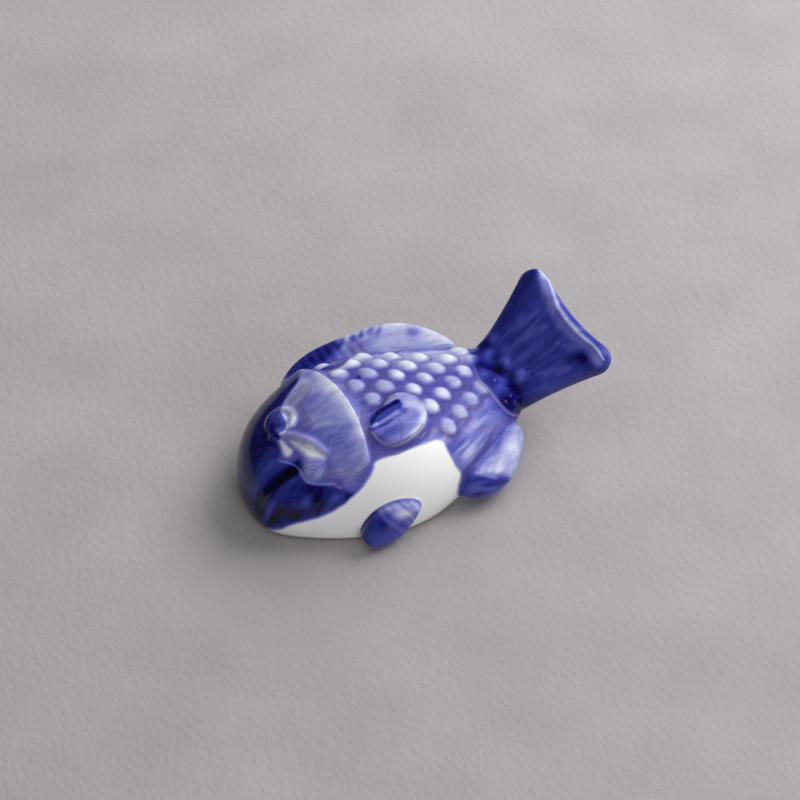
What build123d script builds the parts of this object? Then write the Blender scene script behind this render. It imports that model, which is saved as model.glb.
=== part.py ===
"""Chopstick rest: a plump sea bream lying on its side, in blue and white glazed porcelain.

The fish lies with its left side up. +X runs from the snout to the tail, +Y from the belly to
the back and +Z up from the table. The origin is on the table, under the middle of the body.
All sizes are in millimetres.

The body is one loft along four long lines: the back and the belly in plan, the crown and the keel
in the side view. Head, trunk, tail and foot are cut from it, and every fin and relief is laid on it.
"""

from build123d import *

import os
from math import atan2, cos, degrees, hypot, pi, radians, sin, tan

# Body, measured from the origin
snout_reach = 24.2
back_reach = 12.2
belly_reach = 14.9
body_height = 13.4
keel_depth = 5.0
snout_side = -2.7
snout_height = 2.8
section_fullness = 0.63
section_level = 0.46
section_count = 12

# Narrow neck that the chopsticks lie across, and the tongue that runs from it into the tail
neck_reach = 14.5
neck_back = 5.6
neck_belly = 7.2
neck_top = 7.6
neck_underside = 2.2
tongue_length = 7.0
tongue_width = 9.0
tongue_thickness = 2.4

# Tail fin, a flat blade that turns up from the neck to two round lobes
tail_reach = 28.2
tail_back = 10.9
tail_belly = 14.2
tail_height = 14.2
tail_root = 12.4
blade_thickness = 3.0
blade_edge = 1.2
blade_waist = 0.9
lobe_radius = 2.2
trailing_hollow = 2.0
trailing_skew = 1.4

# Bare foot under the body
foot_height = 0.5

# Head
gill_reach = 8.8
gill_side = 1.5
gill_bow = 34.0
gill_relief = 0.9
gill_length = 8.5
gill_feather = 0.25
eye_radius = 1.15
eye_height = 0.65
eye_ring_radius = 1.75
eye_ring_wire = 0.75
eye_ring_sink = 0.45
cheek_radius = 1.8
cheek_height = 0.5
cheek_ridge_wire = 1.1
cheek_ridge_sink = 0.6
mouth_width = 1.5
mouth_depth = 0.7

# Fins
fin_root = 3.5
dorsal_reach = 6.6
dorsal_thickness = 3.0
dorsal_rim = 1.0
dorsal_height = 6.5
dorsal_lift = 6.0
spine_count = 7
spine_pitch = 1.4
first_spine = 3.6
spine_width = 0.9
spine_depth = 0.2
spine_lean = 25.0
anal_reach = 3.8
anal_thickness = 4.4
anal_rim = 2.2
anal_height = 3.2
pelvic_length = 8.8
pelvic_width = 5.6
pelvic_thickness = 3.4
pelvic_rim = 1.6
pelvic_height = 3.35
pelvic_tilt = 20.0
pectoral_length = 8.6
pectoral_width = 6.4
pectoral_relief = 0.8
pectoral_heading = 11.0
ray_count = 2
ray_pitch = 1.7
first_ray = 1.9
ray_width = 0.9
ray_depth = 0.35
ray_length = 5.0
ray_setback = 1.0

# Scales
scale_radius = 1.3
scale_height = 0.55
scale_pitch = 3.4
scale_column_pitch = 3.1
scale_slant = 10.0
scale_rows = 6
scale_columns = 9
scale_first_row = 7.8
scale_first_column = -7.6
scale_field = 0.70

# A length that reaches past the fish from anywhere in it
room = 4 * (snout_reach + tail_reach)


def long_line(points, start, end):
    """A smooth line of the body through its points, with the directions of its two ends."""
    tangents = [Vector(*start), Vector(*end)]
    return Edge.make_spline([Vector(*point) for point in points], tangents=tangents)


def value_at(line, x):
    """The second coordinate of a long line where its first one is x."""
    low = 0.0
    high = 1.0
    for _ in range(40):
        middle = (low + high) / 2
        if line.position_at(middle).X < x:
            low = middle
        else:
            high = middle
    return line.position_at(low).Y


# The blade rises straight from the middle of the neck to the middle of its trailing edge
neck_height = (neck_top + neck_underside) / 2
blade_length = hypot(tail_reach - neck_reach, tail_height - neck_height)
blade_slope = atan2(tail_height - neck_height, tail_reach - neck_reach)
blade_plane = Plane(
    origin=(neck_reach, 0, neck_height),
    x_dir=(cos(blade_slope), 0, sin(blade_slope)),
    z_dir=(-sin(blade_slope), 0, cos(blade_slope)),
)

# Stations of the long lines
brow = -0.86 * snout_reach
shoulder = -0.46 * snout_reach
widest = -0.28 * snout_reach
rear = 0.42 * neck_reach
tongue_reach = neck_reach + tongue_length
tongue_side = (neck_back - neck_belly) / 2
tongue_level = neck_height + tongue_length * tan(blade_slope)

back_line = long_line(
    [
        (-snout_reach, snout_side),
        (brow, 0.58 * back_reach),
        (shoulder, back_reach),
        (rear, 0.76 * back_reach),
        (neck_reach, neck_back),
        (tongue_reach, tongue_side + tongue_width / 2),
    ],
    (0, 1),
    (1, -0.2),
)
belly_line = long_line(
    [
        (-snout_reach, snout_side),
        (brow, -0.58 * belly_reach),
        (widest, -belly_reach),
        (rear, -0.80 * belly_reach),
        (neck_reach, -neck_belly),
        (tongue_reach, tongue_side - tongue_width / 2),
    ],
    (0, -1),
    (1, 0.2),
)
crown_line = long_line(
    [
        (-snout_reach, snout_height),
        (brow, 0.73 * body_height),
        (widest, body_height),
        (rear, 0.78 * body_height),
        (neck_reach, neck_top),
        (tongue_reach, tongue_level + tongue_thickness / 2),
    ],
    (0, 1),
    (1, tan(blade_slope)),
)
keel_line = long_line(
    [
        (-snout_reach, snout_height),
        (brow, -0.50 * keel_depth),
        (widest, -keel_depth),
        (rear, -0.24 * keel_depth),
        (neck_reach, neck_underside),
        (tongue_reach, tongue_level - tongue_thickness / 2),
    ],
    (0, -1),
    (1, tan(blade_slope)),
)


def cross_section(x, growth=0.0):
    """The closed outline across the fish at x: four quarter curves that meet at its widest height."""
    back = value_at(back_line, x)
    belly = value_at(belly_line, x)
    crown = value_at(crown_line, x)
    keel = value_at(keel_line, x)
    ridge = (back + belly) / 2
    level = keel + section_level * (crown - keel)
    reach = (back - belly) / 2 + growth
    rise = crown - level + growth
    drop = level - keel + growth

    def quarter(side, up):
        handles = [(side, 0), (side, section_fullness * up), (section_fullness * side, up), (0, up)]
        return [Vector(x, ridge + y, level + z) for y, z in handles]

    edges = [
        Edge.make_bezier(*quarter(reach, rise)),
        Edge.make_bezier(*reversed(quarter(-reach, rise))),
        Edge.make_bezier(*quarter(-reach, -drop)),
        Edge.make_bezier(*reversed(quarter(reach, -drop))),
    ]
    return Wire(edges)


def body_form():
    """The whole body from the snout to the end of the tongue, with its flat base on the table."""
    length = snout_reach + tongue_reach
    sections = [Vertex(-snout_reach, snout_side, snout_height)]
    for index in range(1, section_count + 1):
        share = 1 - cos(pi / 2 * index / section_count)
        sections.append(cross_section(-snout_reach + share * length))
    above_table = Box(room, room, room, align=(Align.CENTER, Align.CENTER, Align.MIN))
    return Solid.make_loft(sections) & above_table


form = body_form()


def grown_form(start, end, first, last):
    """A stretch of the body form that stands proud of it, by a growth that runs from first to last."""
    steps = 6
    shares = [step / steps for step in range(steps + 1)]
    sections = [cross_section(start + t * (end - start), first + t * (last - first)) for t in shares]
    return Solid.make_loft(sections)


def side_at(x, across):
    """The plan place across the fish at x, from the middle by a share of the half width there."""
    back = value_at(back_line, x)
    belly = value_at(belly_line, x)
    return (back + belly) / 2 + across * (back - belly) / 2


def spot(along, across):
    """A plan point: along is a share of the snout's or the neck's reach, across of the half width."""
    x = along * (snout_reach if along < 0 else neck_reach)
    return x, side_at(x, across)


def skin(x, y, base=form):
    """The point of the upper skin over a plan point, and the direction out of it."""
    return base.find_intersection_points(Axis((x, y, room), (0, 0, -1)))[0]


def dome(x, y, radius, height, base=form):
    """A round cap of a sphere that stands on the skin over a plan point."""
    point, outward = skin(x, y, base)
    ball_radius = (radius**2 + height**2) / (2 * height)
    centre = point - outward * (ball_radius - height)
    ball = Pos(centre) * Sphere(ball_radius) - base
    return ball.solids().sort_by(Axis.Z)[-1]


def skin_ring(x, y, radius, wire, sink):
    """A ring of round wire about a plan point, with its middle sunk below the skin."""
    point, outward = skin(x, y)
    return Plane(origin=point - outward * sink, z_dir=outward) * Torus(radius, wire) - form


def skin_ridge(places, wire, sink):
    """A round-ended ridge of round wire through three plan points, with its middle sunk below the skin."""
    points = []
    for place in places:
        point, outward = skin(*place)
        points.append(point - outward * sink)
    path = Edge.make_three_point_arc(*points)
    ridge = sweep(Plane(origin=path @ 0, z_dir=path % 0) * Circle(wire), path)
    for end in (points[0], points[-1]):
        ridge += Pos(end) * Sphere(wire)
    return ridge - form


def upright(face, low, high):
    """A plan face raised to a block between two heights."""
    return Pos(0, 0, low) * extrude(face, high - low, dir=(0, 0, 1))


def behind(x):
    """A tall block that holds all that lies behind x."""
    return Pos(x, 0, 0) * Box(room, room, room, align=(Align.MIN, Align.CENTER, Align.CENTER))


def smooth_edge(points):
    """One closed smooth edge through plan points."""
    return Edge.make_spline([Vector(*point) for point in points], periodic=True)


def pillow(points, thickness, rim):
    """A padded plate about the plan, with its rim rounded off above and below."""
    centre = sum((Vector(*point) for point in points), Vector()) / len(points)
    arms = [Vector(*point) - centre for point in points]
    sections = []
    for level in (-1, -0.75, 0, 0.75, 1):
        inset = rim * (1 - (1 - level**2) ** 0.5)
        ring = [centre + arm * (1 - inset / arm.length) for arm in arms]
        sections.append(Pos(0, 0, level * thickness / 2) * Wire([smooth_edge(ring)]))
    return Solid.make_loft(sections)


def fin_outline(line, start, end, reach, profile):
    """A fin's outline along a long line: out by shares of a reach, and back inside the body."""
    side = 1 if reach > 0 else -1
    points = []
    for along, out in profile:
        x = start + along * (end - start)
        points.append((x, value_at(line, x) + out * reach))
    for along in (0.75, 0.3):
        x = start + along * (end - start)
        points.append((x, value_at(line, x) - side * fin_root))
    return points


base_slab = Box(room, room, foot_height, align=(Align.CENTER, Align.CENTER, Align.MIN))
gill_wall = Pos(-gill_reach - gill_bow, gill_side) * Circle(gill_bow)
gill_block = upright(gill_wall, -room, room)
eye_spot = spot(-0.71, 0.23)
cheek_spot = spot(-0.71, -0.56)
mouth_corner = spot(-0.80, -0.50)
mouth_front = spot(-0.985, -0.60)
ridge_spots = [spot(-0.79, 0.10), spot(-0.70, -0.17), spot(-0.64, -0.48)]
pectoral_spot = spot(-0.18, -0.39)


def foot():
    """The bare foot, a thin slice under the whole body."""
    return form & base_slab


def mouth_slot():
    """The cut of the mouth, from its corner on the cheek forward and down past the snout."""
    run = hypot(mouth_corner[0] - mouth_front[0], mouth_corner[1] - mouth_front[1])
    heading = degrees(atan2(mouth_front[1] - mouth_corner[1], mouth_front[0] - mouth_corner[0]))
    slot = Pos(run / 2, 0) * SlotCenterToCenter(run, mouth_width)
    slot = Pos(*mouth_corner) * Rot(0, 0, heading) * slot
    return upright(slot, foot_height, room) - Pos(0, 0, -mouth_depth) * form


def jaw_block():
    """A tall block on the belly side of the mouth, forward of its corner."""
    outline = Polyline(
        mouth_corner,
        mouth_front,
        (-room, mouth_front[1]),
        (-room, -room),
        (mouth_corner[0], -room),
        mouth_corner,
    )
    return upright(make_face(outline), -room, room)


def head():
    """The head from the snout to the gills, without the lower jaw."""
    return (form & gill_block) - base_slab - mouth_slot() - jaw_block()


def lower_jaw():
    """The lower jaw, which closes against the head along the mouth."""
    return (form & jaw_block()) - base_slab - mouth_slot()


def trunk():
    """The scaled body between the gills and the root of the tail."""
    return form - gill_block - base_slab - behind(tail_root)


def eye():
    """The domed eye."""
    return dome(*eye_spot, eye_radius, eye_height)


def eye_ring():
    """The raised ring round the eye."""
    return skin_ring(*eye_spot, eye_ring_radius, eye_ring_wire, eye_ring_sink) - eye()


def cheek():
    """The round cheek below the eye, behind the corner of the mouth."""
    return dome(*cheek_spot, cheek_radius, cheek_height)


def cheek_ridge():
    """The soft ridge from below the eye, over the cheek, to the front of the gill cover."""
    return skin_ridge(ridge_spots, cheek_ridge_wire, cheek_ridge_sink) - eye_ring() - cheek()


def gill_cover():
    """The raised cover over the gills, which grows out of the head and ends at the edge of the gills."""
    front = -gill_reach - gill_length
    end = gill_relief - gill_reach
    shares = [
        (0.30, 0.74),
        (-0.10, 0.40),
        (-0.10, -0.50),
        (0.25, -0.78),
        (0.80, -0.70),
        (1.30, -0.20),
        (1.20, 0.78),
    ]
    points = []
    for along, across in shares:
        x = front + along * gill_length
        points.append((x, side_at(x, across)))
    cover = grown_form(front, end, -gill_feather, gill_relief)
    cover &= upright(Face(Wire([smooth_edge(points)])), 0.3 * body_height, room)
    return (cover & gill_block) - form - eye_ring() - cheek() - cheek_ridge()


def dorsal_fin():
    """The long fin on the back, with the spines of its front half cut into its upper side."""
    profile = [(0, 0.05), (0.24, 0.38), (0.48, 0.62), (0.70, 0.84), (0.84, 0.78), (0.96, 0.42), (1.0, 0.0)]
    start = -0.47 * snout_reach
    end = 0.88 * neck_reach
    plate = pillow(fin_outline(back_line, start, end, dorsal_reach, profile), dorsal_thickness, dorsal_rim)
    for spine in range(spine_count):
        x = start + first_spine + spine * spine_pitch
        axis_height = dorsal_thickness / 2 + spine_width / 2 - spine_depth
        rim = Pos(x, value_at(back_line, x), axis_height) * Rot(90, 0, -spine_lean)
        plate -= rim * Cylinder(spine_width / 2, 2 * dorsal_reach)
    hinge = Pos(0, back_reach, dorsal_height) * Rot(dorsal_lift, 0, 0) * Pos(0, -back_reach, 0)
    return hinge * plate - form


def anal_fin():
    """The fin under the rear of the belly, which wraps down towards the table."""
    profile = [(0, 0.1), (0.2, 0.80), (0.5, 1.15), (0.76, 0.92), (0.97, 0.1)]
    outline = fin_outline(belly_line, 0.05 * neck_reach, 0.95 * neck_reach, -anal_reach, profile)
    return Pos(0, 0, anal_height) * pillow(outline, anal_thickness, anal_rim) - form


def pelvic_fin():
    """The small fin on the flank below the head, a leaf that lies against the belly."""
    line_of_sight = Axis((-0.42 * snout_reach, -room, pelvic_height), (0, 1, 0))
    point = form.find_intersection_points(line_of_sight)[0][0]
    shares = [(0.5, 0.15), (0.1, 0.5), (-0.35, 0.3), (-0.5, -0.1), (-0.2, -0.5), (0.25, -0.4)]
    points = [(u * pelvic_length, v * pelvic_width) for u, v in shares]
    flank = Plane(origin=point, x_dir=(1, 0, 0), z_dir=(0, -1, 0))
    return flank * Rot(0, 0, pelvic_tilt) * pillow(points, pelvic_thickness, pelvic_rim) - form


def pectoral_fin():
    """The ridged fin on the upper side of the body, with the grooves between its rays."""
    shares = [
        (-0.50, 0.10),
        (-0.12, 0.36),
        (0.28, 0.50),
        (0.50, 0.30),
        (0.47, -0.15),
        (0.12, -0.48),
        (-0.25, -0.50),
        (-0.50, -0.20),
    ]
    place = Pos(*pectoral_spot) * Rot(0, 0, pectoral_heading)
    outline = smooth_edge([(u * pectoral_length, v * pectoral_width) for u, v in shares])
    start = pectoral_spot[0] - 0.6 * pectoral_length
    end = pectoral_spot[0] + 0.6 * pectoral_length
    fin = grown_form(start, end, pectoral_relief, pectoral_relief)
    fin = (fin & upright(place * Face(Wire([outline])), neck_top, room)) - form
    groove_floor = grown_form(start, end, pectoral_relief - ray_depth, pectoral_relief - ray_depth)
    for ray in range(ray_count):
        offset = first_ray - ray * ray_pitch
        groove = Pos(-ray_setback, offset) * SlotOverall(ray_length, ray_width)
        fin -= upright(place * groove, neck_top, room) - groove_floor
    return fin


def tail_blade():
    """The flat blade of the tail in its own plane, with two round lobes and rounded rims."""
    root = tail_root - neck_reach
    back = Vector(blade_length, tail_back)
    belly = Vector(blade_length - trailing_skew, -tail_belly)
    notch = (back + belly) / 2 - Vector(trailing_hollow, 0)
    root_back = Vector(root, neck_back - blade_edge)
    root_belly = Vector(root, blade_edge - neck_belly)
    waist = Vector(0, blade_waist)
    edges = [
        Edge.make_three_point_arc(root_back, (root_back + back) / 2 - waist, back),
        Edge.make_three_point_arc(back, notch, belly),
        Edge.make_three_point_arc(belly, (root_belly + belly) / 2 + waist, root_belly),
        Edge.make_line(root_belly, root_back),
    ]
    face = Face(Wire(edges))
    tips = [vertex for vertex in face.vertices() if vertex.X > blade_length / 2]
    blade = extrude(face.fillet_2d(lobe_radius, tips), blade_thickness / 2, both=True)
    rims = blade.edges().group_by(Axis.Z)[0] + blade.edges().group_by(Axis.Z)[-1]
    return fillet(rims, blade_edge)


def tail_fin():
    """The tail: its blade and the tongue of the body that it grows from."""
    blade = blade_plane * tail_blade()
    return (blade & behind(tail_root)) - trunk() + (form & behind(tail_root))


def scale_spots():
    """Plan points in staggered slanting columns, clear of the gills, of the pectoral fin and of the sides."""
    spots = []
    for column in range(scale_columns):
        for row in range(scale_rows):
            down = (row + 0.5 * (column % 2)) * scale_pitch
            y = scale_first_row - down
            x = scale_first_column + column * scale_column_pitch + down * tan(radians(scale_slant))
            gill_edge = (gill_bow**2 - (y - gill_side) ** 2) ** 0.5 - gill_bow - gill_reach
            back = value_at(back_line, x)
            belly = value_at(belly_line, x)
            across = (2 * y - back - belly) / (back - belly)
            beside_fin = hypot(
                (x - pectoral_spot[0]) / (pectoral_length / 2 + scale_radius / 2),
                (y - pectoral_spot[1]) / (pectoral_width / 2 + scale_radius / 2),
            )
            between = gill_edge + 1.3 * scale_radius < x < neck_reach + scale_pitch
            if between and beside_fin > 1 and abs(across) < scale_field:
                spots.append((x, y))
    return spots


def scales(tail, dorsal, pectoral):
    """The rows of round scales on the upper side and on the root of the tail."""
    domes = []
    for x, y in scale_spots():
        base = tail if x > tail_root + scale_radius else form
        scale = dome(x, y, scale_radius, scale_height, base) - form - pectoral
        if x > tail_root - scale_radius:
            scale = scale - tail - dorsal
        domes.append(scale.solids().sort_by(Axis.Z)[-1])
    return Compound(domes)


os.makedirs("parts", exist_ok=True)
tail = tail_fin()
dorsal = dorsal_fin()
pectoral = pectoral_fin()
pieces = {
    "foot": foot(),
    "head": head(),
    "lower_jaw": lower_jaw(),
    "trunk": trunk(),
    "gill_cover": gill_cover(),
    "eye": eye(),
    "eye_ring": eye_ring(),
    "cheek": cheek(),
    "cheek_ridge": cheek_ridge(),
    "dorsal_fin": dorsal,
    "anal_fin": anal_fin(),
    "pelvic_fin": pelvic_fin(),
    "pectoral_fin": pectoral,
    "tail_fin": tail,
    "scales": scales(tail, dorsal, pectoral),
}
for name, piece in pieces.items():
    export_step(piece, f"parts/{name}.step")
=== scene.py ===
"""Looks of the sea bream chopstick rest: glazed porcelain skin, cobalt painting, floor, light and camera.

The skin is one soft surface drawn over all the solids, as a glaze lies over a moulded body. It is
painted point by point, and then cut into one piece for each solid. Work on the skin is in millimetres.
"""

import math

import bpy
import numpy as np
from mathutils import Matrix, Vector
from mathutils.bvhtree import BVHTree


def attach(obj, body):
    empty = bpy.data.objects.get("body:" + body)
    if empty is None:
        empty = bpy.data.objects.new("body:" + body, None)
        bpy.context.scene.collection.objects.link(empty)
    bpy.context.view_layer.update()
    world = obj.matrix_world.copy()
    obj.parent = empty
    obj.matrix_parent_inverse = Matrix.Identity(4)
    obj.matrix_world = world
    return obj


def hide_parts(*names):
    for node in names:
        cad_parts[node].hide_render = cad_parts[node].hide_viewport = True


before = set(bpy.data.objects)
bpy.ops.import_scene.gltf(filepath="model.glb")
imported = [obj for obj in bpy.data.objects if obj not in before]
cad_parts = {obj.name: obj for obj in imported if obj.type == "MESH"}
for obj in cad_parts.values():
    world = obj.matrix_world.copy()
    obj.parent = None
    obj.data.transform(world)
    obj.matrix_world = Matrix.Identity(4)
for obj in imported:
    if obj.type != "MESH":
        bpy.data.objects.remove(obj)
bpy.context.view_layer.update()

METRES = 0.001

# Skin: the spacing of its points, and the reach of its softening, borders and pools, in millimetres
point_spacing = 0.14
glaze_softness = 0.26
cavity_reach = 0.9
border_run = 0.5
border_vote = 0.35
pool_reach = 0.5
pool_share = 0.6

# Brush: widths in millimetres, how many times its width a mark reaches, and how far each kind wobbles
curve_steps = 4
facing_fade = (-0.05, 0.2)
border_fade = (0.3, 0.7)
arc_fade = (-0.2, 0.6)
edge_reach = 3
touch_reach = 2.5
line_width = 0.13
line_end_fade = 0.15
line_end_start = 0.04
wobble_size = 1.4
wobble_width = 0.12
wobble_seeds = (11, 12)
stroke_wobble = 0.4
line_wobble = 0.7
touch_wobble = 2

# Factors that scatter the cells of the noise
cell_factors = np.array([374761393, 668265263, 1103515245])
seed_factor = 974711
scatter_factor = 1274126177

# Stretches of the body where one paint gives way to another, in millimetres
forehead_end = (-14, -10)
scale_lines_end = (10.5, 11.5)
tail_start = (11.5, 12.8)
streaks_start = (14.0, 15.0)
white_foot_top = (1.2, 2.6)

# Paint on a scale: a ring, a crescent and a peak, by the distance from its middle in millimetres. The
# crescent is painted shade on the lower right side, and the pale peak is shifted towards that side as a
# painted highlight
ring_radius = 1.75
ring_width = 0.5
ring_tone = 0.60
ring_strength = 0.7
ring_line = 0.2
crescent_radius = 1.85
crescent_width = 0.32
crescent_tone = 0.70
crescent_strength = 0.8
crescent_line = 0.4
crescent_fade = (-0.1, 0.8)
crescent_side = (0.77, -0.64)
peak_shift = 0.35
peak_fade = (0.5, 1.75)
peak_tone = 0.27
peak_tone_range = 0.10
peak_size_range = 0.25
scale_blur = 0.22
scale_blur_size = 0.9
link_passes = 60

# The sides that the photograph doesn't show: tones, and the waves of their borders in millimetres
far_back_tone = 0.5
far_back_range = 0.12
far_forehead_tone = 0.9
far_tail_tone = 0.83
far_streaks = (0.25, 0.6, 0.9)
forehead_wave = 3
foot_wave = 2.5
foot_wave_height = 0.7

# Streaks of the brush: waves in a millimetre along X, Y and Z, and how they and hollows fade with load
broad_streaks = (0.5, 1.6, 1.2)
fine_streaks = (1.1, 3.4, 2.6)
fine_share = 0.6
brush_depth = 0.06
brush_limit = 1.45
brush_strength = (0.4, 1)
hollow_range = (-0.12, 0.16)
hollow_limit = 1.25
hollow_strength = (0.25, 0.9)
painted_fade = (0.04, 0.2)

# Streaks along the tail: where they fan out from, how close they lie, their length and their depth
streak_origin = 4
streak_density = 26
streak_length = 9
streak_depth = 0.13

# The photograph's view: where it was taken from, its pixel under the origin and the size of a pixel there
view_azimuth = math.radians(-31.0)
view_elevation = math.radians(45.0)
view_distance = 420.0
origin_pixel = np.array([401.0, 444.0])
pixel_size = 0.135
photo_size = 800

# Directions of that view
to_viewer = np.array([
    math.sin(view_azimuth) * math.cos(view_elevation),
    -math.cos(view_azimuth) * math.cos(view_elevation),
    math.sin(view_elevation),
])
view_right = np.array([math.cos(view_azimuth), math.sin(view_azimuth), 0.0])
view_up = np.cross(to_viewer, view_right)

node_names = sorted(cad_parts)

# Tones of cobalt under the glaze, from bare white to the heaviest brush load, in sRGB
cobalt_tones = [
    (0.00, (246, 246, 245)),
    (0.10, (212, 216, 235)),
    (0.22, (173, 177, 218)),
    (0.40, (123, 127, 197)),
    (0.55, (93, 94, 180)),
    (0.70, (58, 66, 162)),
    (0.82, (37, 42, 126)),
    (0.92, (14, 9, 92)),
    (1.00, (8, 6, 16)),
]
line_colour = (92, 76, 122)
clay_colour = (214, 208, 199)
floor_colour = (174, 169, 170)
clay_contrast = 24
floor_contrast = 5
room_colour = (232, 233, 238)
room_strength = 0.06

# Grain of the materials: waves in a metre, how far it moves the cobalt, and where it is dark and light
glaze_grain = 2600
grain_depth = 0.09
clay_sand = 4000
floor_mottle = 60
floor_grain = 1100
grain_span = (0.3, 0.7)

# Lamps: metres to the right of the view, away and up, then width, watts and whether the glaze shows them
lamps = {
    "right_window": ((0.40, 0.25, 0.42), 0.40, 2.7, False),
    "right_gleam": ((0.44, 0.08, 0.33), 0.12, 0.15, True),
    "back_window": ((0.20, 0.45, 0.25), 0.35, 1.4, False),
    "front_card": ((0.40, -0.80, 0.32), 0.60, 3.2, False),
    "overhead": ((0.0, 0.0, 1.0), 1.2, 3.0, False),
}

# Nodes that a stroke may run over
on_head = ("head", "lower_jaw", "gill_cover", "eye", "eye_ring", "cheek", "cheek_ridge")
on_gill = ("gill_cover", "head", "trunk")
on_pectoral = ("pectoral_fin", "trunk", "scales")
on_back = ("trunk", "dorsal_fin", "scales")
on_tail = ("tail_fin", "scales", "trunk")
on_anal = ("anal_fin", "trunk")

# Places of the painting, read off the photograph in its pixels
WHITE_BELLY = [
    (376, 461), (396, 453), (422, 444), (441, 440), (448, 451), (455, 464), (461, 475), (458, 495),
    (469, 501), (454, 524), (404, 561), (329, 561), (267, 548), (262, 530), (279, 529), (294, 524),
    (318, 517), (335, 510), (353, 496), (365, 484), (373, 469),
]
FOREHEAD = [
    (299, 378), (296, 386), (289, 394), (282, 406), (274, 412), (270, 422), (269, 431), (274, 438),
    (278, 445), (279, 455), (269, 463), (261, 471), (257, 483), (253, 501), (247, 512), (220, 518),
    (220, 350), (291, 350),
]
FOREHEAD_GLOW = [(274, 452), (267, 459), (259, 469)]
UPPER_LIP = [(280, 464), (270, 471), (262, 481), (256, 492)]
BROW = [
    (302, 378), (315, 383), (308, 392), (298, 401), (293, 408), (296, 417), (293, 425), (287, 428),
    (286, 417), (282, 412), (283, 405), (291, 395), (298, 387),
]
BROW_WHITE = [(301, 380), (292, 393), (285, 403), (283, 410), (285, 417)]
BROW_FOLD = [(304, 380), (302, 389), (296, 397), (288, 405), (287, 412), (290, 420), (295, 426)]
BROW_LINES = [
    (306, 383), (305, 391), (299, 399), (294, 405), (303, 417), (306, 424), (299, 431), (286, 435),
]
# Painted highlight on the brow ridge, above and right of the eye
BROW_HIGHLIGHT = (290, 417)
EYE = (279, 423)
# Painted highlight on the right rim of the eye
EYE_HIGHLIGHT = [(282, 412), (286, 418), (287, 425), (285, 431), (280, 434)]
EYE_SHADOW = [(272, 426), (273, 432), (277, 436)]
UNDER_EYE_LINES = [
    (281, 436), (294, 438), (306, 441), (316, 446), (325, 455), (328, 463), (327, 474), (322, 481),
]
PETAL = [(279, 441), (283, 441), (289, 446), (293, 451), (290, 456), (286, 456), (282, 450)]
UNDER_EYE = [
    (290, 441), (301, 443), (312, 446), (320, 452), (325, 459), (318, 458), (308, 456), (301, 452),
    (295, 446),
]
CHEEK_FOOT = (312, 478)
CHEEK_FIELD = [(303, 461), (312, 456), (321, 460), (325, 469), (322, 478), (312, 481), (304, 474)]
MOUTH_LINE = [
    (280, 461), (289, 463), (298, 468), (303, 477), (308, 482), (320, 484), (333, 484), (341, 489),
]
MOUTH = [(298, 467), (287, 474), (276, 483), (267, 494), (260, 504), (256, 516)]
# The lower lip's top edge, painted paler as a highlight
LOWER_LIP = [(296, 477), (286, 484), (276, 495), (269, 507), (266, 517)]
JAW = [
    (303, 478), (308, 484), (322, 484), (335, 487), (348, 492), (354, 495), (335, 510), (318, 517),
    (294, 524), (279, 529), (262, 527), (253, 521), (259, 511), (276, 489),
]
JAW_BLACKS = [(281, 515), (318, 503)]
JAW_DARK = (311, 489)
JAW_LIGHTS = [(305, 503), (335, 497)]
JAW_EDGE = [(262, 527), (282, 527), (306, 520), (327, 511)]
GILL_FIELD = [
    (318, 385), (340, 398), (356, 416), (364, 440), (360, 465), (345, 483), (326, 481), (328, 462),
    (318, 446), (306, 436), (300, 420), (305, 400),
]
# The gill cover's upper edge: thin glaze and a painted highlight where its rounded rim faces the light
GILL_EDGE_HIGHLIGHT = [(320, 384), (330, 390), (341, 399), (352, 411), (359, 423), (362, 433)]
GILL_PATCH = [(318, 416), (327, 410)]
GILL_DISC = (342, 447)
GILL_RINGS = [
    [(360, 436), (361, 450), (354, 463), (342, 472)],
    [(366, 441), (366, 455), (359, 471), (345, 481)],
]
GILL_STREAKS = [(368, 463), (353, 474), (338, 479), (326, 481)]
# The top end of the same painted highlight on the gill cover's edge
GILL_TOP = [(321, 376), (329, 382), (339, 387)]
GILL_RIM = [(361, 431), (368, 438), (374, 448), (373, 458)]
BACK_STROKE = [(322, 370), (335, 366), (348, 359)]
BACK_WHITE = [(333, 373), (346, 365), (358, 358)]
DORSAL_DARK = [(292, 371), (312, 358), (332, 349)]
DORSAL_TICKS = [(322, 356), (329, 350), (340, 344), (352, 339), (361, 334), (371, 330), (379, 330)]
DORSAL_BLOT = (413, 331)
DORSAL_PURPLE = (354, 349)
DORSAL_WHITE = [(422, 339), (432, 339), (443, 342)]
DORSAL_BASE = [
    [(348, 356), (358, 352), (369, 349)],
    [(391, 347), (400, 348), (409, 347)],
    [(432, 347), (446, 345), (456, 346), (467, 348)],
]
DARK_DOTS = [(379, 351), (359, 377), (389, 373), (371, 411), (396, 355)]
# Painted reflection: a pale haze along the back below the dorsal fin
BACK_REFLECTION_ROW = [(368, 352), (384, 352), (400, 356), (423, 357), (446, 355), (460, 352)]
PURPLE_PATCHES = [(373, 390), (420, 378), (467, 390), (442, 429), (384, 374), (453, 406)]
REAR_LIGHTS = [(469, 448), (478, 420), (433, 434)]
REAR_FIELD = [
    (447, 411), (463, 397), (481, 393), (492, 413), (490, 425), (492, 432), (481, 448), (469, 470),
    (455, 459), (442, 440), (446, 425),
]
SWIRL = (484, 435)
SWIRL_RIM = [(478, 430), (484, 426), (490, 430), (490, 438), (485, 442)]
PECTORAL = [
    (368, 429), (369, 421), (374, 413), (384, 406), (398, 401), (410, 399), (419, 402), (425, 410),
    (425, 420), (421, 429), (412, 437), (400, 443), (389, 445), (380, 442), (373, 435),
]
PECTORAL_STRIPE = [(374, 420), (384, 412), (397, 405)]
PECTORAL_DEEP = [(378, 413), (388, 406), (398, 401)]
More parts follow.
